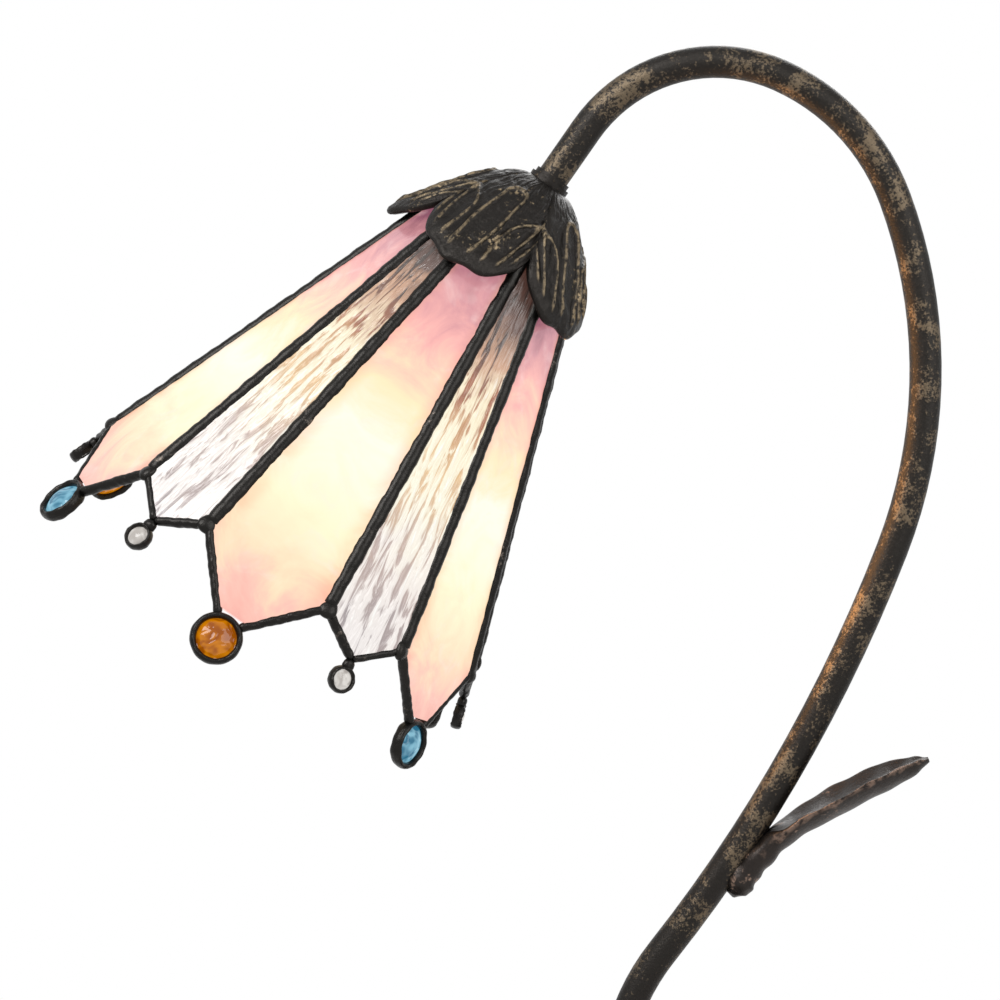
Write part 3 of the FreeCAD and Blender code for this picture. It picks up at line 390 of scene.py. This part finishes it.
# how deep the seams start, and how deep each corner, tip and jewel lies below the collar
depths = {"seamTop": 0.0264, "shoulder": 0.1762, "wideTip": 0.1984, "jewel": 0.2075,
          "narrowTip": 0.1878, "drop": 0.1957}
solderLook = {"seamWidth": 0.0056, "seamHeight": 0.0054, "rimWidth": 0.0036, "rimHeight": 0.0042,
              "blobRadius": 0.0040, "bezelRadius": 0.0087, "dropBezel": 0.0046, "tipHalf": 0.00575}
seamSize = solderLook["seamWidth"], solderLook["seamHeight"]
rimSize = solderLook["rimWidth"], solderLook["rimHeight"]
bezel = solderLook["bezelRadius"]
narrowHalf = math.radians(12)
tipBeads = []
for number in range(6):
    azimuth, beads = number * math.pi / 3, []
    across, down, outward, lean = panelAxes(azimuth, wideHalf)
    jewel = panelPoint(azimuth, wideHalf, depths["jewel"])
    for hand in (-1, 1):
        seam = azimuth + hand * wideHalf
        out = np.array([math.cos(seam), math.sin(seam), 0])
        high, low = (
            np.array([0, 0, d]) + out * (d - apex) * slope for d in (depths["seamTop"], depths["shoulder"])
        )
        corner = panelPoint(azimuth, wideHalf, depths["wideTip"], hand * solderLook["tipHalf"])
        rim = jewel + (corner - jewel) / np.linalg.norm(corner - jewel) * bezel
        beads += [
            beadTube(high, low, out, *seamSize, number * 2 + hand),
            beadTube(low, rim, outward, *rimSize, number + hand * 3),
            blob(low, out, across, down, solderLook["blobRadius"], seamSize[1] * 1.1, number),
        ]
    beads.append(beadRing(jewel, across, down, outward, bezel, 0.0025, 0.005, number))
    piece = addMesh(f"solderSeams{number + 1}", [(fromShade(g), w) for g, w in beads], solderFinish)
    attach(piece, "lamp")
    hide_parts(f"seam_frame_{number + 1}")
    middle = azimuth + math.pi / 6
    across, down, outward, lean = panelAxes(middle, narrowHalf)
    tip, drop = (panelPoint(middle, narrowHalf, depths[key]) for key in ("narrowTip", "drop"))
    reach = (depths["shoulder"] - apex) * slope * math.sin(narrowHalf)
    for hand in (-1, 1):
        corner = panelPoint(middle, narrowHalf, depths["shoulder"], hand * reach)
        tipBeads.append(beadTube(corner, tip, outward, *rimSize, number * 1.7 + hand))
    tipBeads.append(beadTube(tip, drop - down * 0.0036, outward, 0.0052, 0.0042, number * 0.9))
    tipBeads.append(beadRing(drop, across, down, outward, solderLook["dropBezel"], 0.0016, 0.0042, number))
piece = addMesh("solderTips", [(fromShade(g), w) for g, w in tipBeads], solderFinish)
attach(piece, "lamp")
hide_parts("tip_frames")

print("stage: petal cap")

# the petal cap in millimetres and degrees
capLook = {"petals": 5, "ring": 8.5, "reach": 46.7, "notch": 35.0, "depth": 44.3, "bow": 1.47,
           "half": 1.5, "twist": 16.0, "vein": 0.65}


def petalCap():
    theta = np.linspace(0, 2 * np.pi, 540, endpoint=False)[:, None]
    outer, lip, inner = np.linspace(0, 1, 90), np.linspace(0, np.pi, 9)[1:-1], np.linspace(1, 0, 14)
    step = 2 * np.pi / capLook["petals"]
    phi = ((theta - math.radians(capLook["twist"]) + step / 2) % step - step / 2) / (step / 2)
    rim = (capLook["notch"] + (capLook["reach"] - capLook["notch"]) * (1 - np.abs(phi) ** 2.3) ** 0.62
           + 0.5 * np.sin(phi * 9 + theta * 3) * (1 - phi ** 2))
    span = capLook["reach"] - capLook["ring"]
    limit = (rim - capLook["half"] * 0.8 - capLook["ring"]) / span
    q = np.concatenate([outer, np.ones(len(lip)), inner])[None, :]
    swing = np.concatenate([np.zeros(len(outer)), lip, np.full(len(inner), np.pi)])[None, :]
    t = q * limit
    radius = capLook["ring"] + span * t
    depth = capLook["depth"] * t ** capLook["bow"]
    fall = capLook["depth"] * capLook["bow"] * np.maximum(t, 0.01) ** (capLook["bow"] - 1) / span
    size = np.sqrt(1 + fall ** 2)
    # raised rim, a tall hairpin vein, two short loops beside it, and hammer marks
    bead = np.exp(-((q - 0.93) / 0.055) ** 2) * 0.8
    lateral = phi * step / 2 * radius
    veins = sum(
        np.exp(-((np.hypot(np.abs(lateral) - place, np.maximum(foot - q, 0) * 38)
                  - width - 0.5 * np.sin(q * 11 + place)) / capLook["vein"]) ** 2) * rise
        for place, width, foot, rise in ((0, 4.6, 0.42, 1.4), (12.5, 3.2, 0.68, 1.2), (21.5, 2.4, 0.86, 1.0))
    )
    veins = veins * np.clip((q - 0.12) * 6, 0, 1) * np.clip((0.97 - q) * 14, 0, 1)
    groove = -0.9 * np.exp(-((1 - np.abs(phi)) / 0.07) ** 2) * np.clip(q * 3, 0, 1)
    marks = (0.2 * np.sin(theta * 40 + q * 17 + 2 * np.sin(q * 23)) * np.sin(q * 31 + 3 * np.sin(theta * 15))
             + 0.14 * np.sin(theta * 35 + 2 * np.sin(q * 9 + theta * 10)))
    relief = (bead + veins + groove + marks) * np.clip(q * 5, 0, 1) * (swing < 0.1)
    away = capLook["half"] * np.cos(swing) + relief
    forward = capLook["half"] * np.sin(swing)
    r = radius + (away * fall + forward) / size
    z = depth + (-away + forward * fall) / size + capLook["half"]
    points = np.stack([r * np.cos(theta), r * np.sin(theta), z], -1) / 1000
    return points, (veins + bead * 0.5) * (swing < 0.1)


def markRaised(piece, amount):
    # how far each point stands up from the casting, for its finish
    raised = piece.data.attributes.new("raised", "FLOAT", "POINT")
    raised.data.foreach_set("value", amount.ravel().astype(np.float32))


capPoints, capRelief = petalCap()
cap = addMesh("petalCap", [(fromShade(capPoints), True)], capFinish)
markRaised(cap, capRelief)
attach(cap, "lamp")
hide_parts("petal_cap")

print("stage: leaf")

# the leaf in millimetres, station by station: its middle line, half thickness, half width and cupping
leafLook = {
    "x": [48.2, 49.0, 51.3, 56.0, 64.0, 76, 91, 107, 120, 126.5],
    "z": [136.6, 139.4, 144.5, 152.0, 160.6, 169.4, 177.4, 186.2, 192.0, 194.2],
    "half": [0.3, 5.0, 6.6, 6.0, 5.6, 4.3, 3.9, 4.3, 3.4, 0.8],
    "wide": [0.4, 5.4, 7.4, 7.2, 8.5, 13.0, 16.0, 13.0, 7.0, 1.2],
    "cup": [0, 0, 0, 0, 0.8, 2.4, 3.2, 3.0, 1.8, 0.3],
}


def smoothRun(values, count):
    # a curve through the stations, softened by averaging
    fine = np.interp(np.linspace(0, len(values) - 1, count), np.arange(len(values)), values)
    kernel = np.ones(9) / 9
    return np.convolve(np.pad(fine, 4, mode="edge"), kernel, mode="valid")


def leafShape():
    count = 140
    x, z, half, wide, cup = (
        smoothRun(leafLook[key], count)[None, :] for key in ("x", "z", "half", "wide", "cup")
    )
    a = np.linspace(0, 2 * np.pi, 96, endpoint=False)[:, None]
    along = np.arange(count)[None, :] * 0.9
    dx, dz = np.gradient(x, axis=1), np.gradient(z, axis=1)
    length = np.hypot(dx, dz)
    lumps = 1 + 0.06 * np.sin(along * 0.21 + a) + 0.05 * np.sin(along * 0.5 + 2 * a)
    sideways = wide * np.cos(a) * (1 + 0.05 * np.sin(along * 0.33))
    thick = np.maximum(half - cup * 0.5, 0.25)
    # the blade is drawn up towards its edges, with a middle vein and slanting side veins
    veins = 0.35 * np.exp(-(np.cos(a) / 0.08) ** 2) + 0.18 * np.sin(along * 0.55 - 6 * np.abs(np.cos(a)))
    up = (thick * np.sin(a) * lumps + cup * (2 * np.cos(a) ** 2 - 1)
          + veins * (np.sin(a) > 0) * np.clip(cup, 0, 1))
    ridge = np.clip(veins * 2, 0, 1) + np.clip(np.abs(np.cos(a)) - 0.86, 0, 1) * 6 * np.clip(cup, 0, 1)
    points = np.stack([x - dz / length * up, sideways + 0 * x, z + dx / length * up], -1) / 1000
    return points, ridge + 0 * up


leafPoints, leafRelief = leafShape()
leaf = addMesh("castLeaf", [(leafPoints, True)], leafFinish)
markRaised(leaf, leafRelief)
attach(leaf, "lamp")
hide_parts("leaf")

print("stage: studio")

floorLook = {"radius": 0.34, "height": -0.0004, "rings": 24, "spokes": 96}
out = np.linspace(0, floorLook["radius"], floorLook["rings"])[None, :]
around = np.linspace(0, 2 * np.pi, floorLook["spokes"], endpoint=False)[:, None]
disc = np.stack([out * np.cos(around), out * np.sin(around), floorLook["height"] + 0 * out * around], -1)
floor = addMesh("floor", [(disc, True)], plain("paleFloor", (0.62, 0.62, 0.62, 1), 0.8, 0.0, 0.02))

scene = bpy.context.scene
world = bpy.data.worlds.new("studio")
scene.world = world
world.use_nodes = True
sky = world.node_tree
paths = node(sky, "ShaderNodeLightPath")
# full white for the camera, half for what lights the lamp, and in between for reflections
seen = Value(sky, paths.outputs["Is Camera Ray"])
seen = seen.math("MAXIMUM", Value(sky, paths.outputs["Is Transmission Ray"]))
seen = seen.math("MAXIMUM", Value(sky, paths.outputs["Is Glossy Ray"]) * 0.55)
feed(sky, sky.nodes["Background"].inputs["Color"], (1, 1, 1, 1))
feed(sky, sky.nodes["Background"].inputs["Strength"], seen * 0.5 + 0.5)

for name, spot, size, power in (
    ("keyLight", (-0.7, -0.9, 1.2), 0.9, 16),
    ("fillLight", (0.9, -0.8, 0.7), 1.0, 7),
    ("backLight", (0.3, 1.1, 1.0), 1.0, 8),
):
    lamp = bpy.data.lights.new(name, "AREA")
    lamp.shape, lamp.size, lamp.energy = "DISK", size, power
    holder = bpy.data.objects.new(name, lamp)
    scene.collection.objects.link(holder)
    # each one faces the middle of the lamp
    back = np.array(spot) - np.array([0, 0, 0.3])
    back /= np.linalg.norm(back)
    right = np.cross([0, 0, 1], back)
    right /= np.linalg.norm(right)
    turned = np.eye(4)
    turned[:3, 0], turned[:3, 1], turned[:3, 2], turned[:3, 3] = right, np.cross(back, right), back, spot
    holder.matrix_world = Matrix(turned.tolist())

# a little warm light from the shade on to the stem
glowLight = bpy.data.lights.new("shadeGlow", "AREA")
glowLight.shape, glowLight.size, glowLight.energy, glowLight.color = "DISK", 0.12, 0.3, (1, 0.5, 0.18)
glowHolder = bpy.data.objects.new("shadeGlow", glowLight)
scene.collection.objects.link(glowHolder)
glowHolder.matrix_world = Matrix(((0, 0, -1, -0.02), (1, 0, 0, 0), (0, -1, 0, 0.31), (0, 0, 0, 1)))

# The camera stands where the photograph was taken from: 4.7 degrees up, 3.2 degrees to one side.
camera = bpy.data.cameras.new("photoView")
camera.sensor_width, camera.lens, camera.clip_start = 36, 97.2, 0.01
viewer = bpy.data.objects.new("photoView", camera)
scene.collection.objects.link(viewer)
viewer.matrix_world = Matrix((
    (0.998399, -0.004643, 0.056381, 0.01481),
    (0.056572, 0.081946, -0.995030, -1.08003),
    (0.0, 0.996626, 0.082077, 0.38674),
    (0, 0, 0, 1),
))
scene.camera = viewer
scene.view_settings.view_transform = "Standard"
